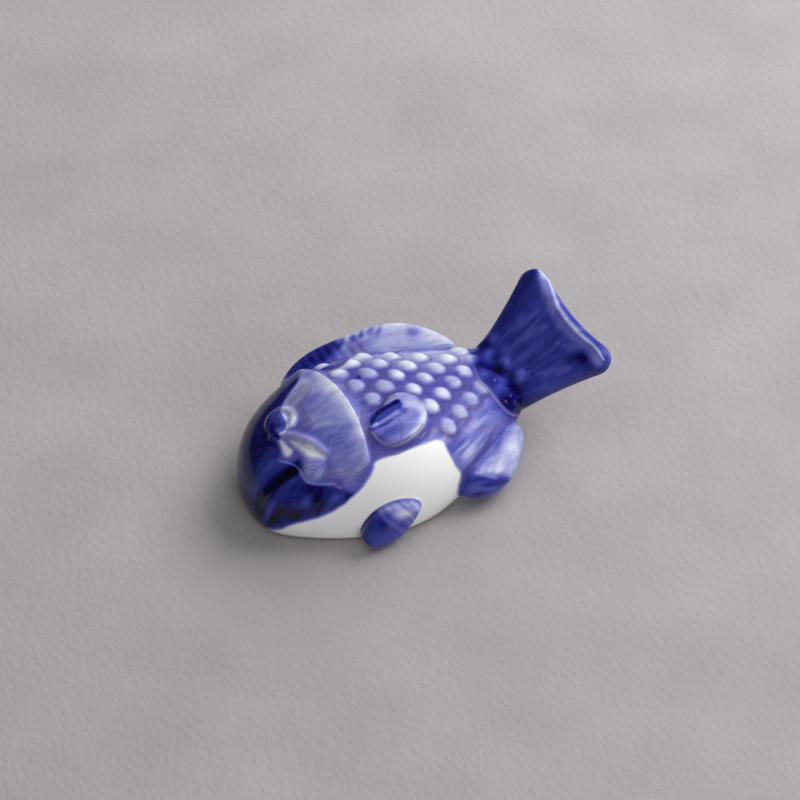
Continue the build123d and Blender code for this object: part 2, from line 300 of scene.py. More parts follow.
PECTORAL_STREAK = [(369, 427), (382, 422), (398, 412)]
PECTORAL_LOW = [(372, 430), (384, 424), (391, 420)]
PECTORAL_BLUE = (388, 433)
PECTORAL_SEAM = [(399, 419), (402, 429), (401, 441)]
PECTORAL_HEM = [(371, 432), (381, 442), (393, 446), (408, 441), (419, 431)]
# Painted highlight on the fin's rear edge, which faces the light
PECTORAL_HIGHLIGHT = [(408, 402), (419, 406), (424, 413), (422, 425), (416, 433)]
UNDER_PECTORAL = [(376, 448), (391, 450), (407, 444), (421, 435), (428, 425)]
BESIDE_PECTORAL = [(365, 409), (364, 420), (367, 432), (374, 442)]
OVER_PECTORAL = [(380, 404), (388, 397), (396, 393)]
TAIL_ROOT = [
    (463, 345), (470, 351), (474, 360), (475, 371), (482, 383), (491, 392), (499, 402), (509, 413),
    (523, 418),
]
TAIL_FIELD_CORNERS = [
    (532, 420), (548, 423), (580, 426), (630, 420), (650, 340), (630, 250), (560, 236), (505, 270),
    (475, 310), (464, 333),
]
TAIL_SEAM = [(474, 366), (478, 378), (487, 388), (495, 398), (503, 408), (511, 414), (519, 416)]
TAIL_BUMPS = [
    (495, 339), (489, 356), (508, 352), (509, 362), (517, 371), (518, 380), (482, 374), (501, 384),
]
TAIL_BLACKS = [(497, 371), (485, 346), (584, 358), (506, 401), (519, 410), (515, 389), (482, 364)]
TAIL_LEFT = [(533, 271), (520, 286), (509, 308), (498, 328)]
TAIL_LOWER = [(514, 408), (545, 399), (575, 387), (600, 373)]
TAIL_CORNER = (542, 273)
TAIL_STREAKS = [
    [(515, 330), (529, 317), (541, 307)],
    [(517, 340), (533, 334), (546, 325)],
    [(558, 343), (569, 347), (581, 352)],
    [(537, 374), (554, 370), (569, 368)],
]
# Pale rim on the tail's trailing edge: thin glaze and a painted highlight on the rounded edge
TAIL_RIM = [(539, 270), (550, 282), (557, 303), (566, 318), (579, 333), (595, 347), (604, 360)]
TAIL_RIM_BLUE = [(543, 278), (549, 301), (558, 320), (573, 336), (588, 348), (598, 362)]
ANAL_FIELD = [
    (494, 430), (508, 422), (517, 428), (518, 448), (512, 470), (497, 475), (478, 471), (486, 453),
    (491, 440),
]
ANAL_TIP = [
    (473, 467), (478, 472), (493, 476), (503, 476), (510, 481), (498, 494), (479, 502), (456, 498),
    (459, 487), (464, 476),
]
# Painted highlight line across the anal fin's tip
ANAL_HIGHLIGHT = [(475, 472), (487, 475), (497, 478)]
ANAL_LEFT = [(492, 434), (485, 448), (475, 461), (466, 471), (460, 487)]
ANAL_TOP = [(515, 421), (502, 424), (493, 432)]
PELVIC_FIELD = [(381, 508), (400, 502), (417, 504), (420, 515), (413, 530), (398, 538), (384, 528)]
PELVIC_LIGHT = (405, 513)
PELVIC_TOP = [(382, 509), (395, 503), (409, 502), (418, 507)]
PELVIC_DARK = (372, 530)
PELVIC_FOLD = (383, 529)

# Corners and grooves that the glaze fills: route, reach of the fill, width and swell, in millimetres
GLAZE_FILLS = [
    ([(470, 351), (477, 349)], 2.4, 1.5, 0.3),
    ([(512, 424), (519, 420), (527, 414)], 1.6, 1.8, 0.0),
    ([(275, 409), (267, 415), (264, 424), (266, 432), (271, 438)], 3.2, 1.7, 0.0),
    (MOUTH, 0.7, 1.3, 0.0),
]


# Mesh work

def read_mesh(mesh):
    """The points of a mesh and the corners of its faces, which all have the same count."""
    points = np.empty(3 * len(mesh.vertices), np.float32)
    mesh.vertices.foreach_get("co", points)
    corners = np.empty(len(mesh.loops), np.int32)
    mesh.loops.foreach_get("vertex_index", corners)
    return points.reshape(-1, 3).astype(float), corners.reshape(len(mesh.polygons), -1)


def solid_meshes():
    """The points and triangles of every solid, in millimetres."""
    solids = {}
    for name in node_names:
        points, triangles = read_mesh(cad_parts[name].data)
        solids[name] = (points / METRES, triangles)
    return solids


def joined(solids):
    """All the solids as one list of points, one of triangles, and the number of each triangle's solid."""
    points = []
    triangles = []
    owners = []
    start = 0
    for number, name in enumerate(node_names):
        some_points, some_triangles = solids[name]
        points.append(some_points)
        triangles.append(some_triangles + start)
        owners.append(np.full(len(some_triangles), number))
        start += len(some_points)
    return np.concatenate(points), np.concatenate(triangles), np.concatenate(owners)


def skin_over(points, triangles):
    """An even net of quads over the outside of the solids."""
    mesh = bpy.data.meshes.new("solids")
    mesh.from_pydata(points.tolist(), [], triangles.tolist())
    holder = bpy.data.objects.new("solids", mesh)
    bpy.context.scene.collection.objects.link(holder)
    remesh = holder.modifiers.new("skin", "REMESH")
    remesh.mode = "VOXEL"
    remesh.voxel_size = point_spacing
    drawn = holder.evaluated_get(bpy.context.evaluated_depsgraph_get())
    skin_points, quads = read_mesh(drawn.data)
    bpy.data.objects.remove(holder)
    bpy.data.meshes.remove(mesh)
    return skin_points, quads


def edges_of(quads):
    """Every edge of the quads, once."""
    sides = np.concatenate([quads[:, [k, (k + 1) % 4]] for k in range(4)])
    return np.unique(np.sort(sides, axis=1), axis=0)


def neighbour_mean(values, edges):
    """The mean of every point's neighbours."""
    count = np.bincount(edges.ravel(), minlength=len(values))
    total = np.empty_like(values)
    for axis in range(values.shape[1]):
        column = values[:, axis]
        total[:, axis] = np.bincount(edges[:, 0], column[edges[:, 1]], len(values))
        total[:, axis] += np.bincount(edges[:, 1], column[edges[:, 0]], len(values))
    return total / np.maximum(count, 1)[:, None]


def softened(values, edges, reach):
    """Values spread over the skin to a reach in millimetres."""
    passes = round((2 * reach / point_spacing) ** 2)
    for _ in range(passes):
        values = (values + neighbour_mean(values, edges)) / 2
    return values


def outward(points, quads):
    """The direction out of the skin at every point."""
    corner = points[quads]
    across = np.cross(corner[:, 2] - corner[:, 0], corner[:, 3] - corner[:, 1])
    total = np.zeros_like(points)
    for axis in range(3):
        for k in range(4):
            total[:, axis] += np.bincount(quads[:, k], across[:, axis], len(points))
    return total / np.maximum(np.linalg.norm(total, axis=1), 1e-12)[:, None]


def pooled(points, quads, edges):
    """The skin with glaze run into its hollows."""
    normals = outward(points, quads)
    depth = np.einsum("ij,ij->i", softened(points, edges, pool_reach) - points, normals)
    return points + normals * (pool_share * np.maximum(depth, 0))[:, None]


def nearest_solids(points, solid_points, triangles, owners):
    """The number of the solid that lies nearest to every point."""
    tree = BVHTree.FromPolygons(solid_points.tolist(), triangles.tolist())
    found = [tree.find_nearest(point)[2] for point in points.tolist()]
    return owners[np.array(found)]


# Brushes

def smooth_step(low, high, value):
    """A smooth rise from 0 at the low bound to 1 at the high one."""
    share = np.clip((value - low) / (high - low), 0, 1)
    return share * share * (3 - 2 * share)


def hashed(cells, seed):
    """A fixed value between -1 and 1 for every cell of a lattice."""
    mixed = cells @ cell_factors[: cells.shape[1]] + seed * seed_factor
    mixed = (mixed ^ (mixed >> 13)) * scatter_factor
    mixed = mixed ^ (mixed >> 16)
    return (mixed & 0xFFFF) / 32767.5 - 1


def noise(places, seed):
    """Smooth noise between -1 and 1, with features about one unit across."""
    cells = np.floor(places).astype(np.int64)
    share = places - cells
    share = share * share * (3 - 2 * share)
    total = np.zeros(len(places))
    for corner in np.ndindex(*(2,) * places.shape[1]):
        offset = np.array(corner)
        weight = np.prod(np.where(offset == 1, share, 1 - share), axis=1)
        total += weight * hashed(cells + offset, seed)
    return total


def seen(points):
    """Places on the painter's plane, in millimetres, where points show."""
    zoom = view_distance / (view_distance - points @ to_viewer)
    return np.stack([points @ view_right * zoom, points @ view_up * zoom], axis=1)


def on_plane(pixels):
    """Places on the painter's plane, in millimetres, of pixels of the photograph."""
    offset = (np.atleast_2d(np.array(pixels, float)) - origin_pixel) * pixel_size
    return offset * (1, -1)


def curve(pixels, closed=False):
    """A smooth line on the painter's plane through pixels of the photograph."""
    spots = on_plane(pixels)
    count = len(spots)
    pieces = []
    for k in range(count if closed else count - 1):
        around = k + np.arange(-1, 3)
        before, start, end, after = spots[around % count if closed else np.clip(around, 0, count - 1)]
        for t in np.arange(curve_steps) / curve_steps:
            bend = 2 * before - 5 * start + 4 * end - after
            twist = 3 * start - before - 3 * end + after
            pieces.append(start + t / 2 * (end - before) + t * t / 2 * bend + t**3 / 2 * twist)
    if not closed:
        pieces.append(spots[-1])
    return np.array(pieces)


def path_gap(spots, path, closed=False):
    """The distance from every spot to a path, and the share of the path where it is nearest."""
    ends = np.roll(path, -1, axis=0) if closed else path[1:]
    starts = path if closed else path[:-1]
    best = np.full(len(spots), np.inf)
    along = np.zeros(len(spots))
    for k, (start, end) in enumerate(zip(starts, ends)):
        step = end - start
        share = np.clip((spots - start) @ step / max(step @ step, 1e-12), 0, 1)
        gap = np.hypot(*(spots - start - share[:, None] * step).T)
        closer = gap < best
        best[closer] = gap[closer]
        along[closer] = (k + share[closer]) / len(starts)
    return best, along


def inside(spots, path):
    """Which spots lie inside a closed path."""
    crossings = np.zeros(len(spots), int)
    for start, end in zip(path, np.roll(path, -1, axis=0)):
        spans = (start[1] > spots[:, 1]) != (end[1] > spots[:, 1])
        run = (end[0] - start[0]) / (end[1] - start[1] + 1e-12)
        crossings += spans & (spots[:, 0] < start[0] + run * (spots[:, 1] - start[1]))
    return crossings % 2 == 1


def filled(points, quads, edges, route, reach, width, swell):
    """The skin with its hollows filled along a route of the photograph, and swollen a little."""
    gap, _ = path_gap(seen(points), curve(route))
    near = gap < touch_reach * width
    number = np.cumsum(near) - 1
    near_edges = number[edges[near[edges].all(axis=1)]]
    smooth = softened(points[near], near_edges, reach)
    normals = outward(points, quads)[near]
    depth = np.einsum("ij,ij->i", smooth - points[near], normals)
    share = np.exp(-((gap[near] / width) ** 2))
    result = points.copy()
    result[near] += normals * (share * (np.maximum(depth, 0) + swell))[:, None]
    return result


class Painting:
    """The load of cobalt and of grey outline at every point of the skin."""

    def __init__(self, points, normals, votes):
        self.spots = seen(points)
        self.facing = smooth_step(*facing_fade, normals @ to_viewer)
        self.upper = smooth_step(*facing_fade, normals[:, 2])
        self.votes = votes
        self.cobalt = np.zeros(len(points))
        self.lines = np.zeros(len(points))
        waves = [noise(points / wobble_size, seed) for seed in wobble_seeds]
        self.wobble = np.stack(waves, axis=1) * wobble_width

    def share(self, near, nodes):
        """How far points belong to the named nodes, with soft borders."""
        numbers = [node_names.index(node) for node in nodes]
        return smooth_step(*border_fade, self.votes[near][:, numbers].sum(axis=1))

    def reach(self, path, margin, nodes):
        """The points near a path, and how far each faces the painter and belongs to the named nodes."""
        low = path.min(axis=0) - margin
        high = path.max(axis=0) + margin
        near = np.flatnonzero(np.all((self.spots > low) & (self.spots < high), axis=1) & (self.facing > 0))
        hold = self.facing[near] * self.share(near, nodes)
        return near[hold > 0], hold[hold > 0]

    def field(self, outline, softness, nodes):
        """The points in an outline, and how far each lies in it."""
        path = curve(outline, closed=True)
        near, hold = self.reach(path, edge_reach * softness, nodes)
        spots = self.spots[near] + self.wobble[near]
        gap, _ = path_gap(spots, path, closed=True)
        gap = np.where(inside(spots, path), gap, -gap)
        return near, hold * smooth_step(-softness, softness, gap)

    def lay(self, near, tone, mask):
        """Moves the cobalt of points towards a tone."""
        self.cobalt[near] += (tone - self.cobalt[near]) * np.clip(mask, 0, 1)

    def wash(self, outline, tone, nodes, softness=0.3, strength=1.0):
        """Fills an outline with a tone."""
        near, mask = self.field(outline, softness, nodes)
        self.lay(near, tone, strength * mask)

    def comb(self, outline, turn, size, depth, nodes):
        """Draws lighter and darker hairs of a length and a width in an outline, turned from level."""
        near, mask = self.field(outline, 0.5, nodes)
        angle = math.radians(turn)
        spots = self.spots[near] + self.wobble[near]
        along = spots[:, 0] * math.cos(angle) + spots[:, 1] * math.sin(angle)
        across = spots[:, 1] * math.cos(angle) - spots[:, 0] * math.sin(angle)
        self.cobalt[near] += depth * mask * noise(np.stack([along, across], axis=1) / size, 61)

    def stroke(self, route, width, tone, nodes, softness=0.5, strength=1.0, taper=0.0):
        """Draws a brush stroke of a width, with softness as the share of it that fades."""
        path = curve(route)
        near, hold = self.reach(path, width, nodes)
        gap, along = path_gap(self.spots[near] + stroke_wobble * self.wobble[near], path)
        half = width / 2 * (1 - taper * np.abs(2 * along - 1) ** 2)
        self.lay(near, tone, strength * hold * (1 - smooth_step(1 - softness, 1 + softness, gap / half)))

    def blot(self, place, size, tone, nodes, strength=1.0, turn=0.0):
        """Sets down a soft oval touch of the brush."""
        centre = on_plane(place)
        near, hold = self.reach(centre, touch_reach * max(size), nodes)
        angle = math.radians(turn)
        offset = self.spots[near] + touch_wobble * self.wobble[near] - centre
        u = (offset[:, 0] * math.cos(angle) + offset[:, 1] * math.sin(angle)) / size[0]
        v = (offset[:, 1] * math.cos(angle) - offset[:, 0] * math.sin(angle)) / size[1]
        self.lay(near, tone, strength * hold * np.exp(-(u * u + v * v)))

    def outline(self, route, nodes, strength=0.6, copies=1, spacing=0.34):
        """Draws thin grey lines along a route, side by side."""
        path = curve(route)
        side = np.gradient(path, axis=0)
        side = np.stack([-side[:, 1], side[:, 0]], axis=1) / np.linalg.norm(side, axis=1)[:, None]
        for copy in range(copies):
            shifted = path + side * spacing * (copy - (copies - 1) / 2)
            near, hold = self.reach(shifted, edge_reach * line_width, nodes)
            gap, along = path_gap(self.spots[near] + line_wobble * self.wobble[near], shifted)
            ends = smooth_step(0, line_end_fade, np.minimum(along, 1 - along) + line_end_start)
            mask = np.exp(-((gap / line_width) ** 2)) * ends
            self.lines[near] = np.maximum(self.lines[near], strength * mask * hold)

    def stain(self, place, size, strength, nodes):
        """Sets down a soft touch of the grey of the outlines."""
        centre = on_plane(place)
        near, hold = self.reach(centre, touch_reach * size, nodes)
        gap = np.hypot(*(self.spots[near] + touch_wobble * self.wobble[near] - centre).T)
        self.lines[near] = np.maximum(self.lines[near], strength * hold * np.exp(-((gap / size) ** 2)))

    def arcs(self, place, low, high, spacing, depth, nodes):
        """Draws faint arcs of heavier and lighter cobalt over a place."""
        centre = on_plane(place)
        near, hold = self.reach(centre, high, nodes)
        offset = self.spots[near] + self.wobble[near] - centre
        gap = np.hypot(*offset.T)
        fade = smooth_step(low, low + spacing, gap) * (1 - smooth_step(high - spacing, high, gap))
        above = smooth_step(*arc_fade, offset[:, 1] / np.maximum(gap, 1e-6))
        self.cobalt[near] += depth * fade * above * hold * np.sin(gap * 2 * math.pi / spacing)


def base_tones(painting, edges):
    """The first wash of cobalt on every node, on all sides, with its borders run together."""
    tones = {
        "foot": 0.0,
        "head": 0.57,
        "lower_jaw": 0.86,
        "trunk": 0.52,
        "gill_cover": 0.44,
        "eye": 0.76,
        "eye_ring": 0.62,
        "cheek": 0.47,
        "cheek_ridge": 0.42,
        "dorsal_fin": 0.24,
        "anal_fin": 0.38,
        "pelvic_fin": 0.68,
        "pectoral_fin": 0.42,
        "tail_fin": 0.78,
        "scales": 0.40,
    }
    by_number = np.array([tones[name] for name in node_names])
    painting.cobalt = softened(by_number[painting.votes.argmax(axis=1)][:, None], edges, border_run)[:, 0]


def paint_far_side(painting, points):
    """The sides that the photograph doesn't show: navy forehead, blue back, white towards the foot."""
    away = 1 - painting.facing
    forehead = 1 - smooth_step(*forehead_end, points[:, 0] + noise(points / forehead_wave, 21))
    back = far_back_tone + far_back_range * noise(points * far_streaks, 22)
    tail = smooth_step(*tail_start, points[:, 0])
    tone = back + (far_forehead_tone - back) * forehead
    tone = tone + (far_tail_tone - tone) * tail
    height = points[:, 2] + foot_wave_height * noise(points / foot_wave, 23)
    low = 1 - smooth_step(*white_foot_top, height)
    tone = tone * (1 - low * (1 - tail))
    on_fins = painting.share(np.arange(len(points)), ("dorsal_fin", "anal_fin", "pelvic_fin"))
    painting.cobalt += (tone - painting.cobalt) * away * (1 - on_fins)


def paint_belly(painting):
    """White belly from the jaw to the anal fin, laid last, so that no streak of the brush crosses it."""
    painting.wash(WHITE_BELLY, 0.0, ("trunk", "head", "lower_jaw", "gill_cover", "foot"), softness=0.3)


def paint_forehead(painting):
    """Pale brow, navy forehead with a lighter stroke over the mouth, and the upper lip."""
    painting.wash(BROW, 0.25, on_head, softness=0.5)
    painting.wash(FOREHEAD, 0.91, on_head, softness=0.45)
    painting.stroke(FOREHEAD_GLOW, 1.4, 0.76, on_head, softness=0.9, strength=0.8)
    painting.stroke(UPPER_LIP, 1.6, 0.76, on_head, softness=0.9)


def paint_jaw(painting):
    """Navy lower jaw with black and lighter touches, the lower lip's top edge painted paler as a
    highlight, and the dark mouth.
    """
    painting.wash(JAW, 0.87, on_head, softness=0.4)
    painting.stroke(JAW_EDGE, 0.9, 0.76, on_head, softness=0.9)
    painting.blot(JAW_BLACKS[0], (3.6, 1.5), 1.0, on_head, turn=12)
    painting.blot(JAW_BLACKS[1], (0.8, 1.5), 1.0, on_head)
    painting.blot(JAW_DARK, (1.6, 0.6), 0.93, on_head)
    for place in JAW_LIGHTS:
        painting.blot(place, (1.2, 0.9), 0.71, on_head, turn=20, strength=0.8)
    painting.comb(JAW, 60, (2.2, 0.5), 0.06, on_head)
    # Painted highlight along the lower lip's top edge
    painting.stroke(LOWER_LIP, 1.2, 0.72, on_head, softness=0.9, taper=0.3)
    painting.stroke(MOUTH, 2.4, 0.98, on_head, softness=0.95, taper=0.3)


def paint_eye(painting):
    """Pale folds and grey lines of the brow with a painted highlight, and the eye with its painted shadow
    below and a painted highlight on its rim.
    """
    painting.stroke(BROW_WHITE, 0.45, 0.26, on_head, softness=0.9, strength=0.9)
    painting.stroke(BROW_FOLD, 0.35, 0.28, on_head, softness=0.9, strength=0.8)
    # Painted highlight on the brow ridge
    painting.blot(BROW_HIGHLIGHT, (0.8, 1.3), 0.20, on_head, strength=0.9)
    painting.stroke(EYE_SHADOW, 0.9, 0.96, on_head, softness=0.8)
    painting.blot(EYE, (0.9, 0.8), 0.70, on_head)
    # Painted highlight on the eye's rim
    painting.stroke(EYE_HIGHLIGHT, 0.30, 0.22, on_head, softness=0.8, strength=0.9)
    painting.outline(BROW_LINES, on_head, strength=0.5, copies=5)


def paint_cheek(painting):
    """Arcs on the cheek, pale patches below the eye and the light line behind the mouth."""
    painting.wash(CHEEK_FIELD, 0.45, on_head, softness=0.7, strength=0.8)
    painting.arcs(CHEEK_FOOT, 0.5, 2.7, 0.5, 0.07, on_head)
    painting.wash(PETAL, 0.06, on_head, softness=0.4)
    painting.wash(UNDER_EYE, 0.06, on_head, softness=0.6)
    painting.comb(UNDER_EYE, -30, (2.0, 0.4), 0.08, on_head)
    painting.stroke(MOUTH_LINE, 0.36, 0.34, on_head, softness=0.95, strength=0.75, taper=0.5)
    painting.outline(UNDER_EYE_LINES, on_head, strength=0.5, copies=3, spacing=0.28)


def paint_gill_cover(painting):
    """Combed blue with a round swirl, a pale upper edge that is partly thin glaze and partly a painted
    highlight, and grey lines at the rim.
    """
    painting.comb(GILL_FIELD, 8, (5.0, 0.6), 0.07, on_gill)
    painting.stroke(GILL_PATCH, 2.6, 0.38, on_gill, softness=0.95)
    painting.blot(GILL_DISC, (1.6, 1.8), 0.52, on_gill, strength=0.8)
    painting.arcs(GILL_DISC, 0.3, 2.4, 0.6, 0.05, on_gill)
    for route in GILL_RINGS:
        painting.stroke(route, 0.9, 0.40, on_gill, softness=0.95, strength=0.8)
    # Painted highlight along the gill cover's upper edge, wide and faint, then narrow and paler
    painting.stroke(GILL_EDGE_HIGHLIGHT, 4.4, 0.34, on_gill, softness=0.95, strength=0.8, taper=0.3)
    painting.stroke(GILL_EDGE_HIGHLIGHT, 1.6, 0.26, on_gill, softness=0.95, taper=0.3)
    painting.stroke(GILL_TOP, 1.6, 0.18, on_gill, softness=0.95, strength=0.8)
    painting.outline(GILL_STREAKS, on_gill, strength=0.45, copies=4, spacing=0.5)
    painting.outline(GILL_RIM, ("trunk",), strength=0.7, copies=3)


def paint_pectoral(painting):
    """A deep stripe and fine streaks along the fin, a painted highlight on its rear edge, and grey lines
    round it.
    """
    painting.stroke(UNDER_PECTORAL, 1.4, 0.62, on_pectoral, softness=0.8)
    painting.wash(PECTORAL, 0.45, on_pectoral, softness=0.25)
    painting.comb(PECTORAL, 28, (3.0, 0.35), 0.06, on_pectoral)
    painting.blot(PECTORAL_BLUE, (2.2, 1.0), 0.66, on_pectoral, turn=25)
    # Painted highlight on the rear edge of the fin
    painting.stroke(PECTORAL_HIGHLIGHT, 1.1, 0.24, on_pectoral, softness=0.95)
    painting.stroke(PECTORAL_STRIPE, 1.4, 0.79, on_pectoral, softness=0.3)
    painting.stroke(PECTORAL_DEEP, 0.5, 0.93, on_pectoral, softness=0.7)
    painting.stroke(PECTORAL_LOW, 0.5, 0.72, on_pectoral, softness=0.7)
    painting.stroke(PECTORAL_STREAK, 0.45, 0.34, on_pectoral, softness=0.9)
    painting.stroke(PECTORAL_HEM, 0.40, 0.26, on_pectoral, softness=0.8, strength=0.8)
    painting.outline(PECTORAL_SEAM, on_pectoral, strength=0.5)
    painting.outline(UNDER_PECTORAL, on_pectoral, strength=0.7, copies=4, spacing=0.42)
    painting.outline(BESIDE_PECTORAL, on_pectoral + ("gill_cover",), strength=0.75, copies=3, spacing=0.4)
    painting.outline(OVER_PECTORAL, on_pectoral, strength=0.8, copies=3)


def scale_centres(solids):
    """The middle of every scale: the scales' points fall into separate groups of touching triangles."""
    points, triangles = solids["scales"]
    _, same = np.unique(points.round(3), axis=0, return_inverse=True)
    group = np.arange(same.max() + 1)
    links = same.ravel()[triangles]
    for _ in range(link_passes):
        lowest = group[links].min(axis=1)
        for k in range(3):
            np.minimum.at(group, links[:, k], lowest)
    member = group[same.ravel()]
    return np.array([points[member == number].mean(axis=0) for number in np.unique(member)])


def paint_scales(painting, points, centres):
    """Pale peaks on the scales, each a little different and shifted towards the lower right as a painted
    highlight, in rings of cobalt with a deep crescent of painted shade below.
    """
    gap = np.full(len(points), np.inf)
    peak_gap = np.full(len(points), np.inf)
    nearest = np.zeros(len(points), int)
    below = crescent_side[0] * view_right + crescent_side[1] * view_up
    shift = peak_shift * below
    for number, centre in enumerate(centres):
        closer = np.linalg.norm(points - centre, axis=1)
        nearest[closer < gap] = number
        gap = np.minimum(gap, closer)
        peak_gap = np.minimum(peak_gap, np.linalg.norm(points - centre - shift, axis=1))
    blur = scale_blur * noise(points / scale_blur_size, 51)
    # The lower side of each scale, where the crescent of painted shade lies
    lower = smooth_step(*crescent_fade, (points - centres[nearest]) @ below / np.maximum(gap, 0.1))
    ring = np.exp(-(((gap + blur - ring_radius) / ring_width) ** 2)) * painting.upper
    painting.cobalt += (ring_tone - painting.cobalt) * ring * ring_strength
    numbers = np.arange(len(centres))[:, None]
    tones = peak_tone + peak_tone_range * hashed(numbers, 52)
    spread = peak_size_range * hashed(numbers, 53)[nearest]
    # Pale peak of bare porcelain, shifted towards the lower right as a painted highlight
    peak = (1 - smooth_step(*peak_fade, peak_gap + blur + spread)) * painting.upper
    painting.cobalt += (tones[nearest] - painting.cobalt) * peak
    # Crescent of painted shade on the lower side of each scale
    crescent = np.exp(-(((gap + blur - crescent_radius) / crescent_width) ** 2)) * lower * painting.upper
    painting.cobalt += (crescent_tone - painting.cobalt) * crescent * crescent_strength
    before_tail = 1 - smooth_step(*scale_lines_end, points[:, 0])
    lines = (ring_line * ring + crescent_line * crescent) * before_tail
    painting.lines = np.maximum(painting.lines, lines)


def paint_back(painting):
    """A painted reflection as a pale row along the back, grey stains, dark dots and two strokes behind the
    head.
    """
    # Painted reflection along the back
    painting.stroke(BACK_REFLECTION_ROW, 3.2, 0.18, ("trunk", "scales"), softness=0.95, strength=0.85)
    for place in PURPLE_PATCHES:
        painting.stain(place, 1.2, 0.6, ("trunk",))
    for place in DARK_DOTS:
        painting.blot(place, (0.3, 0.3), 0.9, ("trunk",))
    painting.stroke(BACK_WHITE, 1.0, 0.12, on_back, softness=0.8)
    painting.stroke(BACK_STROKE, 0.8, 0.90, on_back, softness=0.8, strength=0.8, taper=0.6)


def paint_dorsal(painting):
    """A dark front, ticks along the spines, and faint lines at the foot of the fin."""
    painting.stroke(DORSAL_DARK, 2.6, 0.90, ("dorsal_fin", "trunk", "head"), softness=0.6)
    painting.blot(DORSAL_PURPLE, (3.0, 1.0), 0.45, ("dorsal_fin",), turn=20)
    painting.stain(DORSAL_PURPLE, 1.8, 0.35, ("dorsal_fin",))
    for number, place in enumerate(DORSAL_TICKS):
        painting.blot(place, (0.45, 0.8), 0.92, ("dorsal_fin",), strength=1 - 0.1 * number, turn=-25)
    painting.blot(DORSAL_BLOT, (1.0, 0.7), 0.5, ("dorsal_fin",))
    painting.stroke(DORSAL_WHITE, 1.0, 0.20, ("dorsal_fin",), softness=0.95)
    for route in DORSAL_BASE:
        painting.outline(route, on_back, strength=0.5)


def paint_rear(painting):
    """The flank between the scales and the anal fin: pale, with slanting hairs of the brush."""
    painting.wash(REAR_FIELD, 0.46, ("trunk",), softness=0.9, strength=0.8)
    for place in REAR_LIGHTS:
        painting.blot(place, (1.6, 1.0), 0.34, ("trunk",), turn=47)
    painting.comb(REAR_FIELD, 47, (2.6, 0.45), 0.16, ("trunk",))
    painting.arcs(SWIRL, 0.2, 1.3, 0.5, 0.06, ("trunk",))
    painting.outline(SWIRL_RIM, ("trunk",), strength=0.4, copies=2)


def paint_tail(painting, points):
    """Deep blue from the root on, streaked along the tail, with a pale rim on its trailing edge that is
    partly thin glaze and partly a painted highlight.
    """
    painting.wash(TAIL_ROOT + TAIL_FIELD_CORNERS, 0.77, on_tail, softness=0.3)
    past_root = smooth_step(*streaks_start, points[:, 0]) * painting.facing
    spread = points[:, 1] / np.maximum(points[:, 0] - streak_origin, 1)
    streaks = noise(np.stack([spread * streak_density, points[:, 0] / streak_length], axis=1), 31)
    painting.cobalt -= streak_depth * np.maximum(streaks, 0) * past_root
    painting.stroke(TAIL_LEFT, 1.5, 0.88, on_tail, softness=0.95)
    painting.stroke(TAIL_LOWER, 2.4, 0.91, on_tail, softness=0.95)
    for route in TAIL_STREAKS:
        painting.stroke(route, 1.2, 0.64, on_tail, softness=0.95, taper=0.5)
    for place in TAIL_BLACKS:
        painting.blot(place, (1.5, 1.0), 0.98, on_tail, strength=0.9, turn=25)
    for place in TAIL_BUMPS:
        painting.blot(place, (0.65, 0.85), 0.63, on_tail, strength=0.9)
    painting.stroke(TAIL_RIM_BLUE, 1.3, 0.53, on_tail, softness=0.9)
    painting.blot(TAIL_CORNER, (0.5, 0.8), 0.30, on_tail, strength=0.8, turn=20)
    # Painted highlight, over thin glaze, along the rounded trailing edge
    painting.stroke(TAIL_RIM, 0.6, 0.24, on_tail, softness=0.95, strength=0.85, taper=0.7)
    painting.stroke(TAIL_SEAM, 0.30, 0.36, on_tail, softness=0.9, strength=0.7, taper=0.4)
    painting.outline(TAIL_SEAM, on_tail, copies=2)


def paint_lower_fins(painting):
    """The anal fin, pale with a deep tip crossed by a painted highlight line, and the pelvic fin, dark
    with a light upper edge.
    """
    painting.wash(ANAL_FIELD, 0.31, ("anal_fin",), softness=0.6)
    painting.comb(ANAL_FIELD, 70, (2.4, 0.5), 0.09, ("anal_fin",))
    painting.wash(ANAL_TIP, 0.76, ("anal_fin",), softness=0.7)
    painting.comb(ANAL_TIP, 10, (1.8, 0.5), 0.14, ("anal_fin",))
    # Painted highlight line on the anal fin
    painting.stroke(ANAL_HIGHLIGHT, 0.6, 0.36, ("anal_fin",), softness=0.95, strength=0.7, taper=0.6)
    painting.stroke(ANAL_LEFT, 0.5, 0.64, on_anal, softness=0.8)
    painting.outline(ANAL_LEFT, on_anal, copies=3)
    painting.outline(ANAL_TOP, on_anal, copies=2)
    painting.blot(PELVIC_DARK, (3.4, 2.6), 0.81, ("pelvic_fin",), turn=40)
    painting.stroke(PELVIC_TOP, 1.2, 0.40, ("pelvic_fin",), softness=0.95)
    painting.blot(PELVIC_LIGHT, (1.5, 1.1), 0.29, ("pelvic_fin",))
    painting.comb(PELVIC_FIELD, -42, (2.6, 0.4), 0.12, ("pelvic_fin",))
    painting.blot(PELVIC_FOLD, (0.6, 1.2), 0.93, ("pelvic_fin",), strength=0.7)


def brush_out(painting, points, cavity):
    """Streaks of the brush, and cobalt gathered in hollows, both weaker where the load is heavy."""
    painted = smooth_step(*painted_fade, painting.cobalt)
    brush = noise(points * broad_streaks, 41) + fine_share * noise(points * fine_streaks, 42)
    hollow = np.clip(cavity, *hollow_range) * np.clip(hollow_limit - painting.cobalt, *hollow_strength)
    depth = brush_depth * np.clip(brush_limit - painting.cobalt, *brush_strength)
    painting.cobalt += painted * (depth * brush + hollow)


